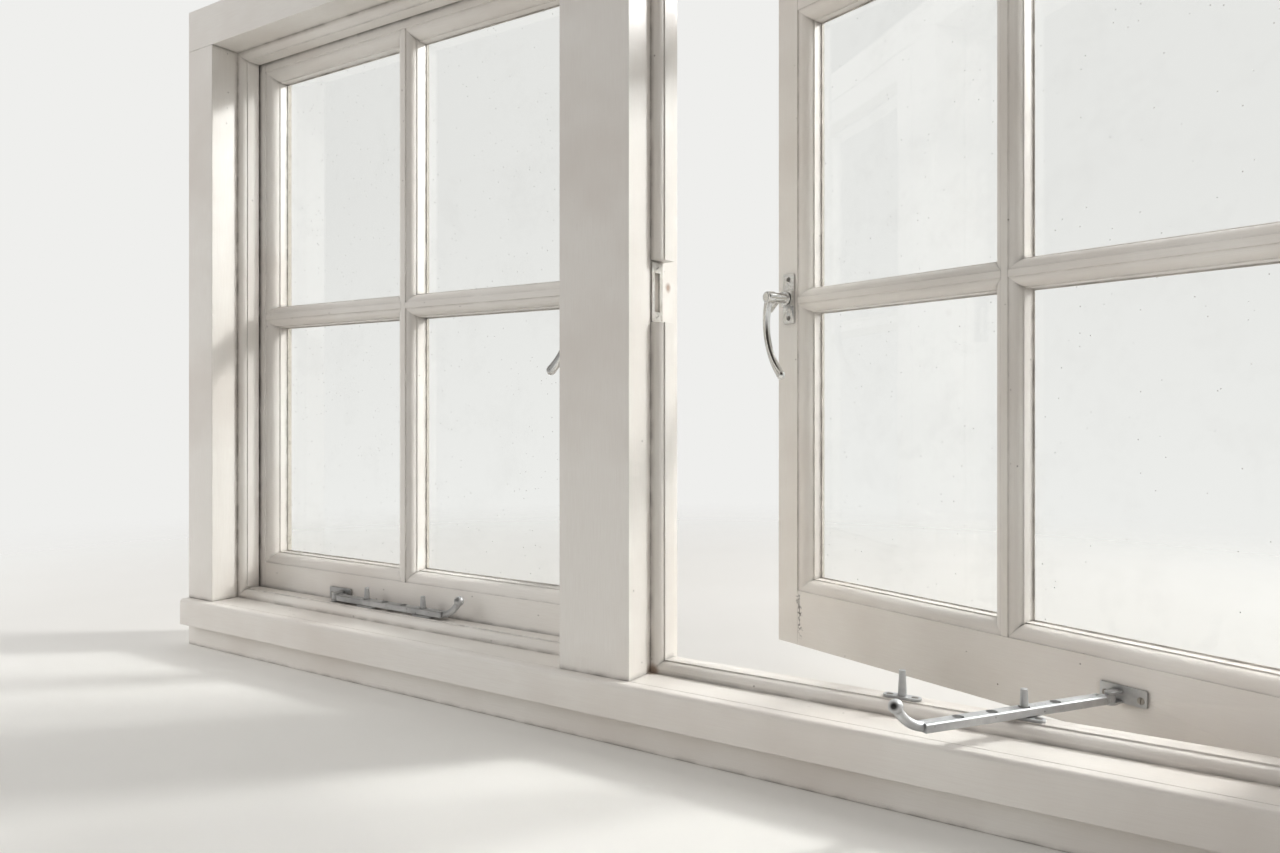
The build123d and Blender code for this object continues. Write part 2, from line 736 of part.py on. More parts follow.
# Pegs of the stay: a tapered pin on a screwed plate with round ends
with BuildPart() as stay_pegs:
    for x in peg_places:
        with BuildSketch(Plane.XY.offset(bead_top_z)):
            with Locations((x, bead_middle_y)):
                SlotOverall(peg_plate_length, peg_plate_width)
        extrude(amount=peg_plate_thickness)
        with Locations((x, bead_middle_y, peg_top_of_plate_z)):
            Cone(peg_base_radius, peg_tip_radius, peg_height, align=(Align.CENTER, Align.CENTER, Align.MIN))
    add(holes_at(peg_screw_planes), mode=Mode.SUBTRACT)
save_both(stay_pegs.part, "stay_pegs")
save_group(screws_at(peg_screw_planes), "peg_screws")

# Stay bracket: a plate on the bottom rail with two lugs round the swivel line
lug_reach = stay_offset - bracket_thickness
lug_levels = (
    lift_z - swivel_barrel_height / 2 - lug_gap - lug_thickness,
    lift_z + swivel_barrel_height / 2 + lug_gap,
)
with BuildPart() as stay_bracket:
    with BuildSketch(Plane.XZ.offset(-leaf_face_y)):
        with Locations((bracket_centre_x, lug_levels[0] + bracket_height / 2)):
            RectangleRounded(bracket_length, bracket_height, plate_corner)
    extrude(amount=bracket_thickness)
    for level in lug_levels:
        with BuildSketch(Plane.XY.offset(level)):
            with Locations((swivel_x, bead_middle_y)):
                Circle(lug_radius)
                Rectangle(2 * lug_radius, lug_reach, align=(Align.CENTER, Align.MIN))
                Circle(swivel_spigot_radius + running_clearance, mode=Mode.SUBTRACT)
        extrude(amount=lug_thickness)
    add(holes_at(bracket_screw_planes), mode=Mode.SUBTRACT)
save_leaf(stay_bracket.part, "stay_bracket")
save_leaf(screws_at(bracket_screw_planes), "bracket_screws")

# Stay knuckle: upright barrel with spigots, and a tongue for the lift pin
with BuildPart() as stay_knuckle:
    with Locations((swivel_x, bead_middle_y, lift_z)):
        Cylinder(swivel_barrel_radius, swivel_barrel_height)
        Cylinder(swivel_spigot_radius, swivel_barrel_height + 2 * (lug_thickness + 2 * lug_gap))
    with BuildSketch(Plane.XZ.offset(-bead_middle_y - tongue_thickness / 2)):
        with Locations((lift_pin_x, lift_z)):
            Circle(tongue_radius)
            Rectangle(lift_pin_reach, 2 * tongue_radius, align=(Align.MIN, Align.CENTER))
            Circle(lift_pin_radius + running_clearance, mode=Mode.SUBTRACT)
    extrude(amount=tongue_thickness)


def save_swung(part, node):
    """Write a piece that swings with the stay: swung out on the right, closed on the left."""
    save(part.rotate(swivel_line, stay_swing).rotate(hinge_line, -leaf_open), f"right_{node}")
    save(mirror(part, about=Plane.YZ), f"left_{node}")


save_swung(stay_knuckle.part, "stay_knuckle")

# Stay arm: a flat bar with a forked root, a row of holes and a curled tail with a ball
stay_plane = Plane(origin=(swivel_x, bead_middle_y, lift_z), x_dir=(1, 0, 0), z_dir=(0, -1, 0))
arm_root_x = lift_pin_x + ear_radius
bar_end_x = swivel_x - stay_bar_length
taper_x = lift_pin_x - stay_taper_length
with BuildPart() as stay_arm:
    with BuildSketch(Plane.XZ.offset(-bead_middle_y - stay_width / 2)):
        with BuildLine():
            Polyline((lift_pin_x, lift_z - ear_radius), (taper_x, lift_z - stay_depth / 2),
                     (bar_end_x, lift_z - stay_depth / 2), (bar_end_x, lift_z + stay_depth / 2),
                     (taper_x, lift_z + stay_depth / 2), (lift_pin_x, lift_z + ear_radius))
            ThreePointArc((lift_pin_x, lift_z + ear_radius), (arm_root_x, lift_z), (lift_pin_x, lift_z - ear_radius))
        make_face()
    extrude(amount=stay_width)
    chamfer(stay_arm.edges().filter_by(Axis.X).group_by(Axis.Z)[-1], stay_edge)
    with BuildSketch(Plane.XY.offset(lift_z - stay_depth)):
        with Locations([(swivel_x - distance, bead_middle_y) for distance in stay_hole_distances]):
            Circle(stay_hole_radius)
    extrude(amount=2 * stay_depth, mode=Mode.SUBTRACT)
    with BuildSketch(Plane.XY.offset(lift_z - stay_depth)):
        with Locations((lift_pin_x - ear_slot_beyond_pin, bead_middle_y)):
            Rectangle(4 * ear_radius, ear_slot_width, align=(Align.MIN, Align.CENTER))
    extrude(amount=2 * stay_depth, mode=Mode.SUBTRACT)
    with BuildSketch(Plane.XZ.offset(-bead_middle_y - stay_width)):
        with Locations((lift_pin_x, lift_z)):
            Circle(lift_pin_radius + running_clearance)
    extrude(amount=2 * stay_width, mode=Mode.SUBTRACT)
    with BuildLine(stay_plane) as tail_line:
        JernArc(start=(tail_overlap - stay_bar_length, 0), tangent=(-1, 0), radius=tail_curl_radius, arc_size=-tail_curl_angle)
    with BuildSketch(Plane(origin=tail_line.line @ 0, z_dir=tail_line.line % 0)):
        Circle(tail_radius)
    sweep(path=tail_line.line)
    with Locations(tail_line.line @ 1):
        Sphere(ball_radius)
save_swung(stay_arm.part, "stay_arm")

with BuildPart() as stay_rivet:
    with BuildSketch(Plane.XZ.offset(-bead_middle_y - stay_width / 2)):
        with Locations((lift_pin_x, lift_z)):
            Circle(lift_pin_radius)
    extrude(amount=stay_width)
save_swung(stay_rivet.part, "stay_rivet")

print(f"casement opens {leaf_open:.3f} degrees, stay swings {stay_swing:.3f} degrees")
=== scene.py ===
"""A painted timber casement window: looks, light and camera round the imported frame."""

import json
import logging
from collections.abc import Callable
from dataclasses import dataclass
from enum import Enum
from math import radians

import bmesh
import bpy
from mathutils import Matrix, Vector, noise

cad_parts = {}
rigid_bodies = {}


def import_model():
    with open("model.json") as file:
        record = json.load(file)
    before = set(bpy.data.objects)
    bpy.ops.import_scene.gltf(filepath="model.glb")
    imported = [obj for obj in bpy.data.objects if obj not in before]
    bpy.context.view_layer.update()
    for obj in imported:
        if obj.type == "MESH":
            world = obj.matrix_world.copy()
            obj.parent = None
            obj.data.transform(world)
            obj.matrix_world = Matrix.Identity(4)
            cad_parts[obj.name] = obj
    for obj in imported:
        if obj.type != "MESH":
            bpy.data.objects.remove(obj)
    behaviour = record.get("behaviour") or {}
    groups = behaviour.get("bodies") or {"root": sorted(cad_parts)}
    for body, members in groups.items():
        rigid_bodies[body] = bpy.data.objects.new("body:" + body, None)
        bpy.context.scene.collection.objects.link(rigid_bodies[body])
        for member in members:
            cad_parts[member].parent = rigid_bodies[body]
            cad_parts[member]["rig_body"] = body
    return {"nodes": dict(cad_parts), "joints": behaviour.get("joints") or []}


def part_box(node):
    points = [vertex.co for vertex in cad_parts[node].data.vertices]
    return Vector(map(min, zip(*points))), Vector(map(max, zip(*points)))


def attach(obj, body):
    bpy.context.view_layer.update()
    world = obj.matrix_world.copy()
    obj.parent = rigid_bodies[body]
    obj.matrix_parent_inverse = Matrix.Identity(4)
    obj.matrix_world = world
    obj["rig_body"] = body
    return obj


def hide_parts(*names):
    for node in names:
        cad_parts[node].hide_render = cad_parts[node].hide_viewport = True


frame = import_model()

Point = tuple[float, float, float]
Colour = tuple[float, float, float, float]
Span = tuple[float, float]
Socket = bpy.types.NodeSocket
Reshape = Callable[[bmesh.types.BMesh], None]

log = logging.getLogger("casement_window")

MM = 0.001
PAINT_IOR = 1.5
GLASS_IOR = 1.5

# An edge sharper than this is rounded by the bevel and kept crisp by the shading
SHARP_ANGLE = radians(32)
EDGE_SEGMENTS = 2
MERGE_DISTANCE = 0.002 * MM
FLAT_ANGLE = radians(0.6)


def joint(name: str) -> dict:
    """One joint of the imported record, by name."""
    return next(entry for entry in frame["joints"] if entry["name"] == name)


RIGHT_HINGE = joint("right_casement_hinge")
RIGHT_OPENING = -RIGHT_HINGE["range_deg"][0]


class Run(Enum):
    """Which way the brush runs on a member: the stretch of its pattern along X, Y and Z."""

    LEVEL = (0.03, 1.0, 1.0)
    UPRIGHT = (1.0, 1.0, 0.03)


class Side(Enum):
    """The two lights of the window, seen from the room."""

    LEFT = "left"
    RIGHT = "right"

    def place(self) -> Matrix:
        """Find the move that takes a piece built for the closed left light to its own light.

        Returns:
            The move: none for the left light, a mirror and the hinge's turn for the right one.
        """
        if self is Side.LEFT:
            return Matrix.Identity(4)
        pivot = Vector(RIGHT_HINGE["pos_m"])
        turn = Matrix.Rotation(radians(-RIGHT_OPENING), 4, "Z")
        mirror = Matrix.Scale(-1, 4, (1, 0, 0))
        return Matrix.Translation(pivot) @ turn @ Matrix.Translation(-pivot) @ mirror


def linear(colour: str) -> Colour:
    """Turn an sRGB hex colour into linear light.

    Args:
        colour: six hex digits after a hash sign.

    Returns:
        Red, green, blue and an alpha of 1.
    """
    channels = [int(colour[i : i + 2], 16) / 255 for i in (1, 3, 5)]
    red, green, blue = (c / 12.92 if c <= 0.04045 else ((c + 0.055) / 1.055) ** 2.4
                        for c in channels)
    return red, green, blue, 1.0


@dataclass(frozen=True)
class Fade:
    """A mask that goes from one share to another between a low and a high value of a pattern."""

    low: float
    high: float
    low_share: float
    high_share: float

    def stops(self) -> tuple[tuple[float, Colour], ...]:
        """The two stops of the colour ramp that fades this way."""
        return tuple((place, (share, share, share, 1.0)) for place, share in
                     ((self.low, self.low_share), (self.high, self.high_share)))


def add_node(tree: bpy.types.NodeTree, kind: str, inputs: dict | None = None,
             stops: tuple[tuple[float, Colour], ...] = (), **settings: object) -> bpy.types.Node:
    """Add a node with its settings, values and links.

    Args:
        tree: the material's or world's node tree.
        kind: the node's type name.
        inputs: a socket to link from, or a value, for each input by name or number.
        stops: places and colours of a colour ramp, where the node is one.
        **settings: the node's own properties.

    Returns:
        The new node.
    """
    node = tree.nodes.new(kind)
    for name, value in settings.items():
        setattr(node, name, value)
    for name, value in (inputs or {}).items():
        if isinstance(value, Socket):
            tree.links.new(value, node.inputs[name])
        else:
            node.inputs[name].default_value = value
    if stops:
        ramp = node.color_ramp.elements
        while len(ramp) < len(stops):
            ramp.new(1.0)
        for element, (place, colour) in zip(ramp, stops):
            element.position = place
            element.color = colour
    return node


# The colour mix node's sockets by number, because several of them share a name
MIX_FACTOR, MIX_FIRST, MIX_SECOND, MIX_RESULT = 0, 6, 7, 2


def layered(tree: bpy.types.NodeTree, ground: Socket | Colour,
            coats: tuple[tuple[Socket, Colour], ...]) -> Socket | Colour:
    """Lay coats of colour over a ground, each through its own mask.

    Args:
        tree: the material's node tree.
        ground: the lowest colour, as a socket or a value.
        coats: the mask and the colour of each coat, the lowest first.

    Returns:
        The colour with all its coats.
    """
    for mask, colour in coats:
        mix = add_node(tree, "ShaderNodeMix", {
            MIX_FACTOR: mask, MIX_FIRST: ground, MIX_SECOND: colour}, data_type="RGBA")
        ground = mix.outputs[MIX_RESULT]
    return ground


def begin_material(name: str) -> tuple[bpy.types.Material, bpy.types.NodeTree, Socket]:
    """Make an empty material.

    Args:
        name: the finish's name.

    Returns:
        The material, its node tree and the socket that gives places on the object.
    """
    material = bpy.data.materials.new(name)
    material.use_nodes = True
    tree = material.node_tree
    tree.nodes.clear()
    return material, tree, add_node(tree, "ShaderNodeTexCoord").outputs["Object"]


@dataclass(frozen=True)
class Stain:
    """A ragged patch of another colour at one place on a piece.

    A share under 1 in drawn_out makes it longer along that axis, and wander bends it sideways.
    """

    centre: Point
    radius: float
    colour: str
    strength: float
    drawn_out: Point = (1.0, 1.0, 1.0)
    wander: float = 0.0
    kink: float = 7 * MM
    core: float = 0.9
    rim: float = 1.6

    def lay(self, tree: bpy.types.NodeTree, places: Socket, lumps: Socket,
            ground: Socket) -> Socket:
        """Lay the stain over the colour so far.

        Args:
            tree: the material's node tree.
            places: places on the object.
            lumps: the noise that frays the stain's edge.
            ground: the colour so far.

        Returns:
            The colour with the stain on it.
        """
        middle = Vector(self.centre)
        if self.wander:
            bends = add_node(tree, "ShaderNodeTexNoise", {
                "Vector": places, "Scale": 1 / self.kink, "Detail": 3.0})
            places = add_node(tree, "ShaderNodeVectorMath", {
                0: bends.outputs[0], 1: (self.wander, 0, 0), 2: places},
                operation="MULTIPLY_ADD").outputs[0]
            middle += Vector((self.wander / 2, 0, 0))
        drawn = add_node(tree, "ShaderNodeVectorMath", {0: places, 1: self.drawn_out},
                         operation="MULTIPLY")
        away = add_node(tree, "ShaderNodeVectorMath", {
            0: drawn.outputs[0], 1: middle * Vector(self.drawn_out)}, operation="DISTANCE")
        frayed = add_node(tree, "ShaderNodeMath", {
            0: lumps, 1: self.radius, 2: away.outputs["Value"]}, operation="MULTIPLY_ADD")
        mask = add_node(tree, "ShaderNodeMapRange", {
            "Value": frayed.outputs[0], "From Min": self.radius * self.core,
            "From Max": self.radius * self.rim, "To Min": self.strength, "To Max": 0.0})
        return layered(tree, ground, ((mask.outputs[0], linear(self.colour)),))


@dataclass(frozen=True)
class GlossPaint:
    """Old gloss paint brushed onto joinery, by hand and in many coats.

    It gives brush lines, thick soft corners, yellowed patches, dirt and painted shade in the corners, and chips.
    """

    name: str
    run: Run
    turn: float = 0.0
    colour: str = "#E9E5DF"
    aged: str = "#D8D0C8"
    # Dark colour laid into the corners, for dirt and painted shade
    dirt_and_shade: str = "#5A5148"
    chip: str = "#5D5043"
    stains: tuple[Stain, ...] = ()
    # Bristles draw finer lines than this, but they would not show
    brush_line: float = 0.9 * MM
    brush_depth: float = 0.12 * MM
    wobble: float = 22 * MM
    wobble_depth: float = 0.6 * MM
    patch: float = 180 * MM
    chip_cell: float = 16 * MM
    # How near another surface must be for a corner to darken with painted shade
    shade_reach: float = 6 * MM
    # The share of cells that have no chip
    sound_share: float = 0.72
    yellowing: Fade = Fade(0.42, 0.72, 0.0, 0.75)
    streaking: Fade = Fade(0.35, 0.6, 0.22, 0.0)
    corner_dirt_and_shade: Fade = Fade(0.3, 0.7, 0.95, 0.0)
    chipping: Fade = Fade(0.035, 0.06, 1.0, 0.0)
    roughness: Span = (0.24, 0.5)

    def make(self) -> bpy.types.Material:
        """Build the material.

        Returns:
            The material.
        """
        material, tree, places = begin_material(self.name)
        turned = add_node(tree, "ShaderNodeMapping", {
            "Vector": places, "Rotation": (0, 0, radians(self.turn))})
        along = add_node(tree, "ShaderNodeMapping", {
            "Vector": turned.outputs[0], "Scale": self.run.value})
        brush = add_node(tree, "ShaderNodeTexNoise", {
            "Vector": along.outputs[0], "Scale": 1 / self.brush_line, "Detail": 2.0,
            "Roughness": 0.6}).outputs[0]
        lumps = add_node(tree, "ShaderNodeTexNoise", {
            "Vector": places, "Scale": 1 / self.wobble, "Detail": 2.0}).outputs[0]
        colour = self.worn_colour(tree, places, brush, lumps)
        fine = add_node(tree, "ShaderNodeBump", {
            "Height": brush, "Distance": self.brush_depth, "Strength": 0.7})
        soft = add_node(tree, "ShaderNodeBump", {
            "Height": lumps, "Distance": self.wobble_depth, "Strength": 0.4,
            "Normal": fine.outputs[0]})
        smooth, coarse = self.roughness
        rough = add_node(tree, "ShaderNodeMapRange", {
            "Value": lumps, "To Min": smooth, "To Max": coarse})
        shader = add_node(tree, "ShaderNodeBsdfPrincipled", {
            "Base Color": colour, "Roughness": rough.outputs[0], "IOR": PAINT_IOR,
            "Normal": soft.outputs[0]})
        add_node(tree, "ShaderNodeOutputMaterial", {"Surface": shader.outputs[0]})
        return material

    def worn_colour(self, tree: bpy.types.NodeTree, places: Socket, brush: Socket,
                    lumps: Socket) -> Socket:
        """Lay age, dirt and painted shade in the corners, chips and stains over the colour of fresh paint.

        Args:
            tree: the material's node tree.
            places: places on the object.
            brush: the fine noise of the brush lines.
            lumps: the slow noise of the paint's thickness.

        Returns:
            The colour of the worn paint.
        """
        patches = add_node(tree, "ShaderNodeTexNoise", {
            "Vector": places, "Scale": 1 / self.patch, "Detail": 3.0, "Roughness": 0.55})
        yellowed = add_node(tree, "ShaderNodeValToRGB", {"Fac": patches.outputs[0]},
                            stops=self.yellowing.stops())
        streaks = add_node(tree, "ShaderNodeValToRGB", {"Fac": brush},
                           stops=self.streaking.stops())
        # Painted shade: the paint darkens where ambient occlusion finds a corner near, and the lumps break it up
        # unevenly as dirt lies
        corner = add_node(tree, "ShaderNodeAmbientOcclusion", {"Distance": self.shade_reach},
                          samples=1)
        grime_and_shade = add_node(tree, "ShaderNodeValToRGB", {"Fac": corner.outputs["AO"]},
                         stops=self.corner_dirt_and_shade.stops())
        uneven = add_node(tree, "ShaderNodeMapRange", {
            "Value": lumps, "From Min": 0.35, "From Max": 0.6, "To Min": 0.3})
        broken = add_node(tree, "ShaderNodeMath", {0: grime_and_shade.outputs[0], 1: uneven.outputs[0]},
                          operation="MULTIPLY")
        cells = add_node(tree, "ShaderNodeTexVoronoi", {
            "Vector": places, "Scale": 1 / self.chip_cell})
        chips = add_node(tree, "ShaderNodeValToRGB", {"Fac": cells.outputs["Distance"]},
                         stops=self.chipping.stops())
        rare = add_node(tree, "ShaderNodeMath", {
            0: cells.outputs["Color"], 1: self.sound_share}, operation="GREATER_THAN")
        chipped = add_node(tree, "ShaderNodeMath", {0: chips.outputs[0], 1: rare.outputs[0]},
                           operation="MULTIPLY")
        colour = layered(tree, linear(self.colour), (
            (yellowed.outputs[0], linear(self.aged)),
            (streaks.outputs[0], linear(self.aged)),
            (broken.outputs[0], linear(self.dirt_and_shade)),
            (chipped.outputs[0], linear(self.chip))))
        for stain in self.stains:
            colour = stain.lay(tree, places, lumps, colour)
        return colour


@dataclass(frozen=True)
class OldGlass:
    """Thin drawn window glass: clear and slightly wavy, with a dusty film and dried specks."""

    name: str = "old_drawn_glass"
    colour: str = "#FDFEFD"
    dust: str = "#C9C7C0"
    wave: float = 70 * MM
    wave_depth: float = 0.5 * MM
    film_cloud: float = 71.43 * MM
    film_most: float = 0.04
    speck_cell: float = 9 * MM
    clean_share: float = 0.7
    specking: Fade = Fade(0.05, 0.09, 0.7, 0.0)

    def make(self) -> bpy.types.Material:
        """Build the material.

        Returns:
            The material.
        """
        material, tree, places = begin_material(self.name)
        waves = add_node(tree, "ShaderNodeTexNoise", {
            "Vector": places, "Scale": 1 / self.wave, "Detail": 1.0})
        bump = add_node(tree, "ShaderNodeBump", {
            "Height": waves.outputs[0], "Distance": self.wave_depth, "Strength": 0.3})
        pane = add_node(tree, "ShaderNodeBsdfPrincipled", {
            "Base Color": linear(self.colour), "Roughness": 0.0, "IOR": GLASS_IOR,
            "Transmission Weight": 1.0, "Normal": bump.outputs[0]})
        # Light passes straight through, so that the glass throws no dark shadow
        clear = add_node(tree, "ShaderNodeBsdfTransparent", {"Color": linear(self.colour)})
        rays = add_node(tree, "ShaderNodeLightPath")
        passing = add_node(tree, "ShaderNodeMixShader", {
            0: rays.outputs["Is Shadow Ray"], 1: pane.outputs[0], 2: clear.outputs[0]})
        dust = add_node(tree, "ShaderNodeBsdfDiffuse", {
            "Color": linear(self.dust), "Roughness": 1.0})
        surface = add_node(tree, "ShaderNodeMixShader", {
            0: self.dusty(tree, places), 1: passing.outputs[0], 2: dust.outputs[0]})
        add_node(tree, "ShaderNodeOutputMaterial", {"Surface": surface.outputs[0]})
        return material

    def dusty(self, tree: bpy.types.NodeTree, places: Socket) -> Socket:
        """Find where dust covers the glass.

        Args:
            tree: the material's node tree.
            places: places on the object.

        Returns:
            The share of dust: a thin cloudy film, and denser dried specks.
        """
        film = add_node(tree, "ShaderNodeTexNoise", {
            "Vector": places, "Scale": 1 / self.film_cloud, "Detail": 4.0, "Roughness": 0.7})
        cloudy = add_node(tree, "ShaderNodeMapRange", {
            "Value": film.outputs[0], "From Min": 0.5, "From Max": 0.85, "To Min": 0.0,
            "To Max": self.film_most})
        cells = add_node(tree, "ShaderNodeTexVoronoi", {
            "Vector": places, "Scale": 1 / self.speck_cell})
        specks = add_node(tree, "ShaderNodeValToRGB", {"Fac": cells.outputs["Distance"]},
                          stops=self.specking.stops())
        rare = add_node(tree, "ShaderNodeMath", {
            0: cells.outputs["Color"], 1: self.clean_share}, operation="GREATER_THAN")
        spots = add_node(tree, "ShaderNodeMath", {0: specks.outputs[0], 1: rare.outputs[0]},
                         operation="MULTIPLY")
        return add_node(tree, "ShaderNodeMath", {0: cloudy.outputs[0], 1: spots.outputs[0]},
                        operation="MAXIMUM").outputs[0]


@dataclass(frozen=True)
class LinseedPutty:
    """Weathered putty under old paint: chalky, with fine cracks and a sandy grain."""

    name: str = "weathered_putty"
    colour: str = "#DAD5CA"
    shade: str = "#C8C1B3"
    crack: str = "#8B8273"
    grain: float = 6.25 * MM
    crack_cell: float = 14 * MM
    relief: float = 0.4 * MM
    cracking: Fade = Fade(0.0, 0.035, 0.8, 0.0)

    def make(self) -> bpy.types.Material:
        """Build the material.

        Returns:
            The material.
        """
        material, tree, places = begin_material(self.name)
        grain = add_node(tree, "ShaderNodeTexNoise", {
            "Vector": places, "Scale": 1 / self.grain, "Detail": 5.0})
        cells = add_node(tree, "ShaderNodeTexVoronoi", {
            "Vector": places, "Scale": 1 / self.crack_cell}, feature="DISTANCE_TO_EDGE")
        cracks = add_node(tree, "ShaderNodeValToRGB", {"Fac": cells.outputs["Distance"]},
                          stops=self.cracking.stops())
        colour = layered(tree, linear(self.colour), (
            (grain.outputs[0], linear(self.shade)), (cracks.outputs[0], linear(self.crack))))
        height = add_node(tree, "ShaderNodeMath", {0: grain.outputs[0], 1: cracks.outputs[0]},
                          operation="SUBTRACT")
        bump = add_node(tree, "ShaderNodeBump", {
            "Height": height.outputs[0], "Distance": self.relief, "Strength": 0.6})
        shader = add_node(tree, "ShaderNodeBsdfPrincipled", {
            "Base Color": colour, "Roughness": 0.7, "Normal": bump.outputs[0]})
        add_node(tree, "ShaderNodeOutputMaterial", {"Surface": shader.outputs[0]})
        return material


@dataclass(frozen=True)
class WornMetal:
    """Cast or drawn metal, worn: rubbed, duller in patches, dark grime in pits, painted shade in recesses."""

    name: str
    colour: str
    dull: str
    # Dark colour of the grime in the pits and of the painted shade in recesses
    grime_and_shade: str
    roughness: Span
    # Cloths and hands rub finer than this, but it would not show
    rub: float = 0.5 * MM
    rub_depth: float = 0.04 * MM
    patch: float = 9 * MM
    pit_cell: float = 2.5 * MM
    pitting: Fade = Fade(0.08, 0.16, 0.8, 0.0)
    # How near another surface must be for the metal to darken with painted shade
    metal_shade_reach: float = 2.5 * MM
    rust: str = "#7A4A2C"
    rust_share: float = 0.0
    rust_edge: float = 0.05
    marks: tuple[Stain, ...] = ()

    def make(self) -> bpy.types.Material:
        """Build the material.

        Returns:
            The material.
        """
        material, tree, places = begin_material(self.name)
        patches = add_node(tree, "ShaderNodeTexNoise", {
            "Vector": places, "Scale": 1 / self.patch, "Detail": 6.0,
            "Roughness": 0.6}).outputs[0]
        rusty = add_node(tree, "ShaderNodeMapRange", {
            "Value": patches, "From Min": 1 - self.rust_share,
            "From Max": 1 - self.rust_share + self.rust_edge}).outputs[0]
        colour = self.worn_colour(tree, places, patches, rusty)
        metallic = add_node(tree, "ShaderNodeMath", {0: 1.0, 1: rusty}, operation="SUBTRACT")
        smooth, coarse = self.roughness
        rough = add_node(tree, "ShaderNodeMapRange", {
            "Value": patches, "From Min": 0.3, "From Max": 0.7, "To Min": smooth,
            "To Max": coarse})
        rubbing = add_node(tree, "ShaderNodeTexNoise", {
            "Vector": places, "Scale": 1 / self.rub, "Detail": 2.0})
        bump = add_node(tree, "ShaderNodeBump", {
            "Height": rubbing.outputs[0], "Distance": self.rub_depth, "Strength": 0.5})
        shader = add_node(tree, "ShaderNodeBsdfPrincipled", {
            "Base Color": colour, "Metallic": metallic.outputs[0],
            "Roughness": rough.outputs[0], "Normal": bump.outputs[0]})
        add_node(tree, "ShaderNodeOutputMaterial", {"Surface": shader.outputs[0]})
        return material

    def worn_colour(self, tree: bpy.types.NodeTree, places: Socket, patches: Socket,
                    rusty: Socket) -> Socket:
        """Lay dull patches, grime in the pits, painted shade in recesses, rust and marks over the colour of the
        bare metal.

        Args:
            tree: the material's node tree.
            places: places on the object.
            patches: the slow noise of the wear.
            rusty: where rust covers the metal.

        Returns:
            The colour of the worn metal.
        """
        dulled = add_node(tree, "ShaderNodeMapRange", {
            "Value": patches, "From Min": 0.38, "From Max": 0.68})
        cells = add_node(tree, "ShaderNodeTexVoronoi", {
            "Vector": places, "Scale": 1 / self.pit_cell})
        pits = add_node(tree, "ShaderNodeValToRGB", {"Fac": cells.outputs["Distance"]},
                        stops=self.pitting.stops())
        pitted = add_node(tree, "ShaderNodeMath", {0: pits.outputs[0], 1: dulled.outputs[0]},
                          operation="MULTIPLY")
        # Painted shade: the metal darkens in recesses, round screw heads and in slots, where ambient occlusion
        # finds it hidden
        corner = add_node(tree, "ShaderNodeAmbientOcclusion", {"Distance": self.metal_shade_reach},
                          samples=2)
        hidden_shade = add_node(tree, "ShaderNodeMapRange", {
            "Value": corner.outputs["AO"], "From Min": 0.25, "From Max": 0.8, "To Min": 0.7,
            "To Max": 0.0})
        colour = layered(tree, linear(self.colour), (
            (dulled.outputs[0], linear(self.dull)),
            (pitted.outputs[0], linear(self.grime_and_shade)),
            (hidden_shade.outputs[0], linear(self.grime_and_shade)),
            (rusty, linear(self.rust))))
        for mark in self.marks:
            colour = mark.lay(tree, places, patches, colour)
        return colour


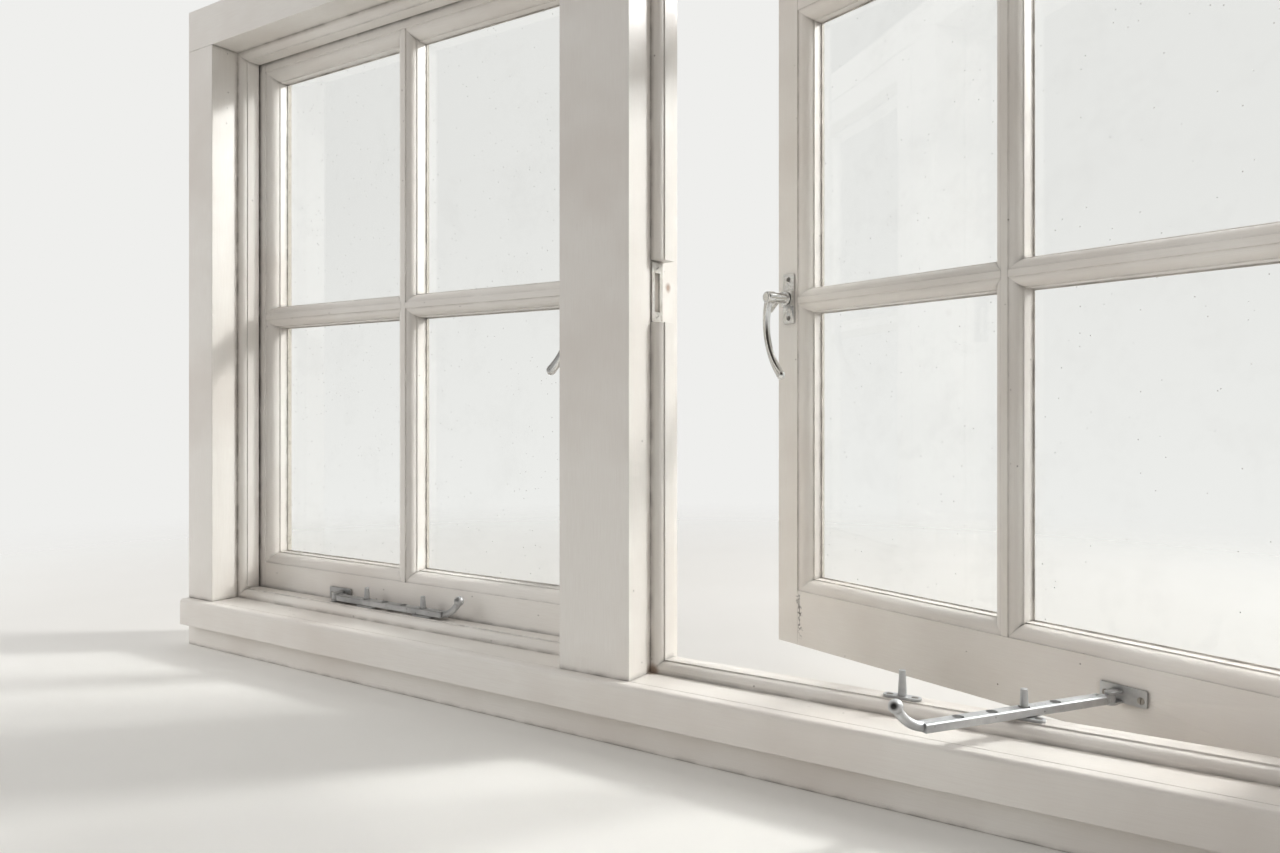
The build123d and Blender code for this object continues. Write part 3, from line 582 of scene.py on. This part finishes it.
class Finishes:
    """Every finish of the window, each made once."""

    level: bpy.types.Material
    upright: bpy.types.Material
    leaf_level: bpy.types.Material
    leaf_upright: bpy.types.Material
    painted_iron: bpy.types.Material
    chrome: bpy.types.Material
    steel: bpy.types.Material
    screws: bpy.types.Material
    rusty: bpy.types.Material
    glass: bpy.types.Material
    putty: bpy.types.Material

    def __init__(self) -> None:
        """Make the materials."""
        self.make_paints()
        self.make_metals()
        self.glass = OldGlass().make()
        self.putty = LinseedPutty().make()

    def make_paints(self) -> None:
        """Make the gloss paints: one for each way the brush runs and each light's stains."""
        # Rust has run out at the mullion's foot and beside its mortice plate
        foot = Stain((0.050, -0.0180, 0.073), 8 * MM, "#83613F", 0.7)
        plate_side = Stain((0.034, 0.0383, 0.4916), 6 * MM, "#86603F", 0.75)
        self.level = GlossPaint("gloss_paint_level", Run.LEVEL, stains=(foot,)).make()
        self.upright = GlossPaint("gloss_paint_upright", Run.UPRIGHT,
                                  stains=(foot, plate_side)).make()
        # On the open light the paint has split down the shoulder of the corner joint
        split = tuple(Stain(centre, radius, "#463E36", 0.95, (1, 0.2, share), wander)
                      for centre, radius, share, wander in (
                          ((0.1006, 0.2505, 0.088), 0.9 * MM, 0.025, 19 * MM),
                          ((0.0988, 0.2511, 0.108), 0.8 * MM, 0.04, -30 * MM),
                          ((0.1020, 0.2495, 0.072), 0.8 * MM, 0.04, 32 * MM)))
        self.leaf_level = GlossPaint("gloss_paint_open_rail", Run.LEVEL, turn=RIGHT_OPENING,
                                     stains=split).make()
        self.leaf_upright = GlossPaint("gloss_paint_open_stile", Run.UPRIGHT,
                                       turn=RIGHT_OPENING, stains=split).make()
        # Butt hinges painted over with the woodwork and chipped back by their own movement
        self.painted_iron = GlossPaint("gloss_paint_on_iron", Run.UPRIGHT, chip="#4A4341",
                                       chip_cell=6 * MM).make()

    def make_metals(self) -> None:
        """Make the metals of the handles, stays, screws and mortice plates."""
        # Chromium plate on a casting: bright, with a little haze where hands have rubbed it
        # A near-black disc on the handle is painted shade standing for the inside of its lock hole
        lock_hole_shade = Stain((0.0803, 0.2415, 0.4900), 1.9 * MM, "#12100E", 1.0)
        self.chrome = WornMetal("chromium_plate", "#DEDEDD", "#CDCCCA", "#2E2A26",
                                (0.06, 0.16), patch=32 * MM, pit_cell=6 * MM,
                                marks=(lock_hole_shade,)).make()
        # Galvanised mild steel, handled for years: grey and soft, with darker spots
        ball_end = Stain((0.3485, -0.1203, 0.1121), 3.6 * MM, "#2A2725", 0.9)
        self.steel = WornMetal("galvanised_steel", "#D2D3D4", "#BEBFC1", "#4A4744",
                               (0.46, 0.6), patch=26 * MM, pit_cell=7 * MM,
                               marks=(ball_end,)).make()
        # Steel screws gone dark, with grime in their pits and painted shade round their heads and in their slots
        self.screws = WornMetal("tarnished_screw", "#9E9A95", "#7B7772", "#25211D",
                                (0.3, 0.45)).make()
        # Steel plate let into the mullion: worn bright on its face, brown in its slot
        slots = tuple(Stain((x, -0.006, 0.481), 4 * MM, "#7A4E30", 0.85, (1, 1, 0.3))
                      for x in (-0.047, 0.047))
        self.rusty = WornMetal("worn_steel_plate", "#C2BFBA", "#A19C94", "#4B4239",
                               (0.35, 0.55), rust_share=0.34, marks=slots).make()


def finish_piece(shape: bmesh.types.BMesh, name: str, material: bpy.types.Material, body: str) -> bpy.types.Object:
    """Turn a finished bmesh into a piece that rides on its body.

    Args:
        shape: the bmesh, which is freed.
        name: the piece's name.
        material: its finish.
        body: the CAD body that carries it.

    Returns:
        The new object.
    """
    mesh = bpy.data.meshes.new(name)
    for face in shape.faces:
        face.smooth = True
    shape.to_mesh(mesh)
    shape.free()
    mesh.set_sharp_from_angle(angle=SHARP_ANGLE)
    mesh.materials.append(material)
    piece = bpy.data.objects.new(name, mesh)
    bpy.context.scene.collection.objects.link(piece)
    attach(piece, body)
    log.info("%s: %d faces, on %s", name, len(mesh.polygons), body)
    return piece


def plain_copy(node: str, material: bpy.types.Material,
               reshape: Reshape | None = None) -> bpy.types.Object:
    """Stand a merged copy of a CAD node in its place.

    Args:
        node: the CAD node's name.
        material: its finish.
        reshape: a function that is given the merged bmesh and may change it.

    Returns:
        The new piece.
    """
    source = frame["nodes"][node]
    shape = bmesh.new()
    shape.from_mesh(source.data)
    bmesh.ops.remove_doubles(shape, verts=shape.verts, dist=MERGE_DISTANCE)
    bmesh.ops.dissolve_limit(shape, angle_limit=FLAT_ANGLE, verts=shape.verts,
                             edges=shape.edges)
    if reshape:
        reshape(shape)
    piece = finish_piece(shape, f"{node}_dressed", material, source["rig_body"])
    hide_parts(node)
    return piece


def softened(node: str, material: bpy.types.Material, radius: float,
             reshape: Reshape | None = None) -> bpy.types.Object:
    """Stand a copy of a CAD node, with its hard edges rounded, in place of the node.

    Args:
        node: the CAD node's name.
        material: its finish.
        radius: how far the edges are rounded.
        reshape: a function that may change the merged bmesh first.

    Returns:
        The new piece.
    """
    piece = plain_copy(node, material, reshape)
    rounding = piece.modifiers.new("rounded_edges", "BEVEL")
    rounding.width = radius
    rounding.segments = EDGE_SEGMENTS
    rounding.limit_method = "ANGLE"
    rounding.angle_limit = SHARP_ANGLE
    rounding.harden_normals = True
    return piece


def repaint(node: str, material: bpy.types.Material) -> None:
    """Give a CAD node that stays as it is its finish.

    Args:
        node: the CAD node's name.
        material: its finish.
    """
    slots = frame["nodes"][node].data.materials
    slots.clear()
    slots.append(material)
    log.info("%s: %s", node, material.name)


@dataclass
class FixedFrame:
    """Sill, head, jambs and mullion, with the stop beads planted round both lights."""

    finishes: Finishes
    arris: float = 1.0 * MM
    bead_arris: float = 0.7 * MM

    def build(self) -> None:
        """Dress every member of the frame."""
        paint = self.finishes
        for node in ("sill", "sill_front_board", "head"):
            softened(node, paint.level, self.arris)
        for node in ("mullion", "left_jamb", "right_jamb"):
            softened(node, paint.upright, self.arris)
        for side in Side:
            for bead in ("bottom_bead", "top_bead"):
                softened(f"{side.value}_{bead}", paint.level, self.bead_arris)
            for bead in ("mullion_bead", "jamb_bead"):
                softened(f"{side.value}_{bead}", paint.upright, self.bead_arris)
            repaint(f"{side.value}_jamb_hinges", paint.painted_iron)
        repaint("hinge_pins", paint.steel)


@dataclass
class Casement:
    """One light: its joinery, glass and putty, and the paint that runs onto the glass."""

    finishes: Finishes
    side: Side
    arris: float = 0.9 * MM
    skin_width: float = 2.2 * MM
    skin_thickness: float = 0.45 * MM
    skin_cuts: int = 90
    skin_wander: float = 1.1 * MM
    slow_waves: float = 60
    quick_waves: float = 210
    quick_share: float = 0.6

    def build(self) -> None:
        """Dress the joinery and the glass."""
        paint = self.finishes
        closed = self.side is Side.LEFT
        level = paint.level if closed else paint.leaf_level
        upright = paint.upright if closed else paint.leaf_upright
        name = self.side.value
        for member in ("bottom_rail", "top_rail", "horizontal_bars"):
            softened(f"{name}_{member}", level, self.arris)
        for member in ("meeting_stile", "hinge_stile", "vertical_bar"):
            softened(f"{name}_{member}", upright, self.arris)
        repaint(f"{name}_upper_panes", paint.glass)
        repaint(f"{name}_lower_panes", paint.glass)
        repaint(f"{name}_putty", paint.putty)
        repaint(f"{name}_leaf_hinges", paint.painted_iron)
        self.paint_skins(level)

    def sight_openings(self) -> list[tuple[Vector, Vector]]:
        """Find the glass that shows in each pane of the closed left light.

        Returns:
            The low and high corners of each pane's sight opening.
        """
        hinge_stile, meeting_stile, vertical_bar, bottom_rail, top_rail, level_bars, panes = (
            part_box(f"left_{member}") for member in
            ("hinge_stile", "meeting_stile", "vertical_bar", "bottom_rail", "top_rail",
             "horizontal_bars", "upper_panes"))
        glass_y = panes[0].y
        columns = ((hinge_stile[1].x, vertical_bar[0].x),
                   (vertical_bar[1].x, meeting_stile[0].x))
        rows = ((bottom_rail[1].z, level_bars[0].z), (level_bars[1].z, top_rail[0].z))
        return [(Vector((x0, glass_y, z0)), Vector((x1, glass_y, z1)))
                for x0, x1 in columns for z0, z1 in rows]

    def paint_skins(self, material: bpy.types.Material) -> None:
        """Lay a thin, wandering edge of paint onto the glass round each pane.

        Args:
            material: the light's paint.
        """
        shape = bmesh.new()
        for low, high in self.sight_openings():
            self.one_skin(shape, low, high)
        bmesh.ops.transform(shape, matrix=self.side.place(), verts=shape.verts)
        bmesh.ops.recalc_face_normals(shape, faces=shape.faces)
        name = self.side.value
        finish_piece(shape, f"{name}_paint_on_glass", material, f"{name}_casement")

    def one_skin(self, shape: bmesh.types.BMesh, low: Vector, high: Vector) -> None:
        """Add the paint edge of one pane.

        Args:
            shape: the bmesh that all panes share.
            low: lowest corner of the glass that shows.
            high: highest corner.
        """
        centre, size = (low + high) / 2, high - low
        stand = Matrix.Translation(centre) @ Matrix.Rotation(radians(90), 4, "X")
        stand = stand @ Matrix.Diagonal((size.x, size.z, 1, 1))
        sheet = bmesh.ops.create_grid(shape, x_segments=1, y_segments=1, size=0.5, matrix=stand)
        pane = sheet["verts"][0].link_faces[0]
        ring = bmesh.ops.inset_individual(shape, faces=[pane], thickness=self.skin_width)
        inner = set(pane.verts)
        inner_edges = list(pane.edges)
        outer_edges = [edge for face in ring["faces"] for edge in face.edges
                       if not inner & set(edge.verts)]
        bmesh.ops.delete(shape, geom=[pane], context="FACES_ONLY")
        cut = bmesh.ops.subdivide_edges(shape, edges=inner_edges + outer_edges,
                                        cuts=self.skin_cuts, use_grid_fill=True)
        faces = {face for item in cut["geom"] if isinstance(item, bmesh.types.BMVert)
                 for face in item.link_faces}
        self.fray(faces, low, high)
        raised = bmesh.ops.extrude_face_region(shape, geom=list(faces))["geom"]
        moved = [item for item in raised if isinstance(item, bmesh.types.BMVert)]
        bmesh.ops.translate(shape, vec=(0, -self.skin_thickness, 0), verts=moved)

    def fray(self, faces: set[bmesh.types.BMFace], low: Vector, high: Vector) -> None:
        """Let the inner line of a paint edge wander, as a brush leaves it.

        Args:
            faces: the flat paint edge of one pane.
            low: lowest corner of the glass that shows.
            high: highest corner.
        """
        centre = (low + high) / 2
        margin = Vector((self.skin_width, 0, self.skin_width)) * 0.9
        inner_low, inner_high = low + margin, high - margin
        for vert in {vert for face in faces for vert in face.verts}:
            point = vert.co
            if inner_low.x < point.x < inner_high.x and inner_low.z < point.z < inner_high.z:
                slow = noise.noise(point * self.slow_waves)
                quick = self.quick_share * noise.noise(point * self.quick_waves)
                vert.co += (point - centre).normalized() * self.skin_wander * (slow + quick)


@dataclass
class Fastener:
    """Handle, plate and screws on a casement's meeting stile, and the plate it shoots into."""

    finishes: Finishes
    side: Side
    plate_edge: float = 0.35 * MM
    cast_grain: float = 0.5 * MM
    cast_softness: float = 0.5
    cast_smoothing: int = 13

    def build(self) -> None:
        """Dress the fastener."""
        name, metal = self.side.value, self.finishes.chrome
        self.cast_handle(metal)
        softened(f"{name}_handle_plate", metal, self.plate_edge)
        softened(f"{name}_mortice_plate", self.finishes.rusty, self.plate_edge)
        repaint(f"{name}_handle_screws", self.finishes.screws)

    def cast_handle(self, metal: bpy.types.Material) -> None:
        """Blend the handle's barrel, head, nose and arm into each other as a casting's are.

        Args:
            metal: the handle's finish.
        """
        handle = plain_copy(f"{self.side.value}_handle", metal)
        cast = handle.modifiers.new("cast_skin", "REMESH")
        cast.mode = "VOXEL"
        cast.voxel_size = self.cast_grain
        cast.use_smooth_shade = True
        soft = handle.modifiers.new("soft_corners", "SMOOTH")
        soft.factor = self.cast_softness
        soft.iterations = self.cast_smoothing


@dataclass
class Stay:
    """Stay arm with its knuckle and bracket on the bottom rail, and the two pegs on the bead."""

    finishes: Finishes
    side: Side
    edge: float = 0.4 * MM
    pin_height: float = 24 * MM
    pin_reach: float = 3.6 * MM
    pin_gain: float = 1.3
    plate_half: float = 18 * MM

    def build(self) -> None:
        """Dress the stay."""
        name, steel = self.side.value, self.finishes.steel
        for part in ("stay_arm", "stay_knuckle", "stay_bracket", "stay_rivet"):
            softened(f"{name}_{part}", steel, self.edge)
        softened(f"{name}_stay_pegs", steel, self.edge, reshape=self.stout_pins)
        repaint(f"{name}_bracket_screws", self.finishes.screws)

    def stout_pins(self, shape: bmesh.types.BMesh) -> None:
        """Thicken the two tapered pins above their plates to the width the window shows.

        Args:
            shape: the merged bmesh of both pegs and their plates.
        """
        plate_top = max(vert.co.z for vert in shape.verts) - self.pin_height
        depths = [vert.co.y for vert in shape.verts]
        for x in self.peg_places():
            axis = Vector((x, (min(depths) + max(depths)) / 2, 0))
            pin = [vert for vert in shape.verts if vert.co.z > plate_top - self.edge / 2
                   and (vert.co.xy - axis.xy).length < self.pin_reach]
            bmesh.ops.scale(shape, vec=(self.pin_gain, self.pin_gain, 1), verts=pin,
                            space=Matrix.Translation(-axis))

    def peg_places(self) -> tuple[float, float]:
        """The pegs' places along the bead: each stands in the middle of its own plate."""
        low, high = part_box(f"{self.side.value}_stay_pegs")
        return low.x + self.plate_half, high.x - self.plate_half


@dataclass(frozen=True)
class Lamp:
    """A soft square lamp: where it stands, what it points at, its side and its power in watts."""

    name: str
    place: Point
    target: Point
    side: float
    watts: float
    in_gloss: bool = True

    def hang(self) -> None:
        """Add the lamp to the scene, unseen by the camera and through glass."""
        data = bpy.data.lights.new(self.name, "AREA")
        data.size = self.side
        data.energy = self.watts
        lamp = bpy.data.objects.new(self.name, data)
        lamp.location = self.place
        heading = Vector(self.target) - Vector(self.place)
        lamp.rotation_euler = heading.to_track_quat("-Z", "Y").to_euler()
        lamp.visible_camera = False
        lamp.visible_transmission = False
        lamp.visible_glossy = self.in_gloss
        bpy.context.scene.collection.objects.link(lamp)


@dataclass
class Studio:
    """Plain pale floor, daylight on the outside, a fill on the room side, and the camera."""

    floor_size: float = 12.0
    floor_squares: int = 8
    floor_colour: str = "#F0EEEA"
    floor_shade: str = "#E8E6E1"
    fade_start: float = 0.8
    fade_end: float = 2.6
    world_light: str = "#EEEDEC"
    world_strength: float = 0.43
    backdrop_colour: str = "#EFEFED"
    dim_colour: str = "#4C4843"
    dim_inward: Span = (-0.45, 0.1)
    dim_upward: Span = (-0.15, 0.2)
    camera_place: Point = (0.605, -0.883, 0.356)
    camera_heading: float = 33.47
    lens: float = 26.83
    horizon_shift: float = -0.0149
    lamps: tuple[Lamp, ...] = (
        Lamp("daylight", (2.1, 2.3, 2.3), (0.1, 0, 0.45), 0.5, 86),
        Lamp("sky", (-1.2, 2.6, 2.6), (0, 0, 0.5), 3.0, 12),
        Lamp("room_fill", (-3.0, -1.3, 1.3), (0.1, 0, 0.4), 2.0, 60, in_gloss=False))

    def build(self) -> None:
        """Set the stage."""
        self.floor()
        self.backdrop()
        for lamp in self.lamps:
            lamp.hang()
        self.camera()

    def floor(self) -> None:
        """Lay a pale floor that takes the window's shadow and fades into the backdrop."""
        shape = bmesh.new()
        bmesh.ops.create_grid(shape, x_segments=self.floor_squares,
                              y_segments=self.floor_squares, size=self.floor_size / 2)
        mesh = bpy.data.meshes.new("floor")
        shape.to_mesh(mesh)
        shape.free()
        mesh.materials.append(self.floor_finish())
        floor = bpy.data.objects.new("floor", mesh)
        bpy.context.scene.collection.objects.link(floor)

    def floor_finish(self) -> bpy.types.Material:
        """Make the floor's matt, faintly mottled finish.

        Returns:
            The material.
        """
        material, tree, places = begin_material("studio_floor")
        mottle = add_node(tree, "ShaderNodeTexNoise", {
            "Vector": places, "Scale": 3.0, "Detail": 2.0})
        colour = layered(tree, linear(self.floor_colour), (
            (mottle.outputs[0], linear(self.floor_shade)),))
        matt = add_node(tree, "ShaderNodeBsdfPrincipled", {"Base Color": colour, "Roughness": 0.8})
        away = add_node(tree, "ShaderNodeVectorMath", {0: places}, operation="LENGTH")
        fade = add_node(tree, "ShaderNodeMapRange", {
            "Value": away.outputs["Value"], "From Min": self.fade_start,
            "From Max": self.fade_end}, interpolation_type="SMOOTHSTEP")
        nothing = add_node(tree, "ShaderNodeBsdfTransparent")
        faded = add_node(tree, "ShaderNodeMixShader", {
            0: fade.outputs[0], 1: matt.outputs[0], 2: nothing.outputs[0]})
        add_node(tree, "ShaderNodeOutputMaterial", {"Surface": faded.outputs[0]})
        return material

    def backdrop(self) -> None:
        """Make a world that lights softly and looks pale to the eye, in gloss and through glass."""
        world = bpy.data.worlds.new("studio")
        world.use_nodes = True
        tree = world.node_tree
        tree.nodes.clear()
        rays = add_node(tree, "ShaderNodeLightPath")
        seen = add_node(tree, "ShaderNodeMath", {
            0: rays.outputs["Is Camera Ray"], 1: rays.outputs["Is Transmission Ray"]},
            operation="MAXIMUM")
        light = add_node(tree, "ShaderNodeBackground", {
            "Color": linear(self.world_light), "Strength": self.world_strength})
        view = add_node(tree, "ShaderNodeBackground", {
            "Color": linear(self.backdrop_colour), "Strength": 1.0})
        plain = add_node(tree, "ShaderNodeMixShader", {
            0: seen.outputs[0], 1: light.outputs[0], 2: view.outputs[0]})
        gloss = add_node(tree, "ShaderNodeBackground", {
            "Color": self.mirrored(tree), "Strength": 1.0})
        whole = add_node(tree, "ShaderNodeMixShader", {
            0: rays.outputs["Is Glossy Ray"], 1: plain.outputs[0], 2: gloss.outputs[0]})
        add_node(tree, "ShaderNodeOutputWorld", {"Surface": whole.outputs[0]})
        bpy.context.scene.world = world

    def mirrored(self, tree: bpy.types.NodeTree) -> Socket:
        """Find what gloss mirrors: the pale backdrop, and a dim part above on the room side.

        The dim part gives plate and glass some depth.

        Args:
            tree: the world's node tree.

        Returns:
            The mirrored colour.
        """
        towards = add_node(tree, "ShaderNodeTexCoord").outputs["Generated"]
        axes = add_node(tree, "ShaderNodeSeparateXYZ", {0: towards})
        near, far = self.dim_inward
        inward = add_node(tree, "ShaderNodeMapRange", {
            "Value": axes.outputs["Y"], "From Min": near, "From Max": far, "To Min": 1.0,
            "To Max": 0.0})
        bottom, top = self.dim_upward
        upward = add_node(tree, "ShaderNodeMapRange", {
            "Value": axes.outputs["Z"], "From Min": bottom, "From Max": top})
        dim = add_node(tree, "ShaderNodeMath", {0: inward.outputs[0], 1: upward.outputs[0]},
                       operation="MULTIPLY")
        return layered(tree, linear(self.backdrop_colour), (
            (dim.outputs[0], linear(self.dim_colour)),))

    def camera(self) -> None:
        """Stand the camera where the photograph was taken from: level, low and to the right."""
        data = bpy.data.cameras.new("camera")
        data.lens = self.lens
        data.shift_y = self.horizon_shift
        camera = bpy.data.objects.new("camera", data)
        camera.location = self.camera_place
        camera.rotation_euler = (radians(90), 0, radians(self.camera_heading))
        bpy.context.scene.collection.objects.link(camera)
        bpy.context.scene.camera = camera
        bpy.context.scene.view_settings.view_transform = "Standard"


def main() -> None:
    """Build the window piece by piece."""
    logging.basicConfig(level=logging.INFO, format="%(message)s")
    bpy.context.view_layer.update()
    finishes = Finishes()
    FixedFrame(finishes).build()
    for side in Side:
        Casement(finishes, side).build()
        Fastener(finishes, side).build()
        Stay(finishes, side).build()
    repaint("mortice_screws", finishes.rusty)
    repaint("peg_screws", finishes.screws)
    Studio().build()
    bpy.context.view_layer.update()


if __name__ == "__main__":
    main()
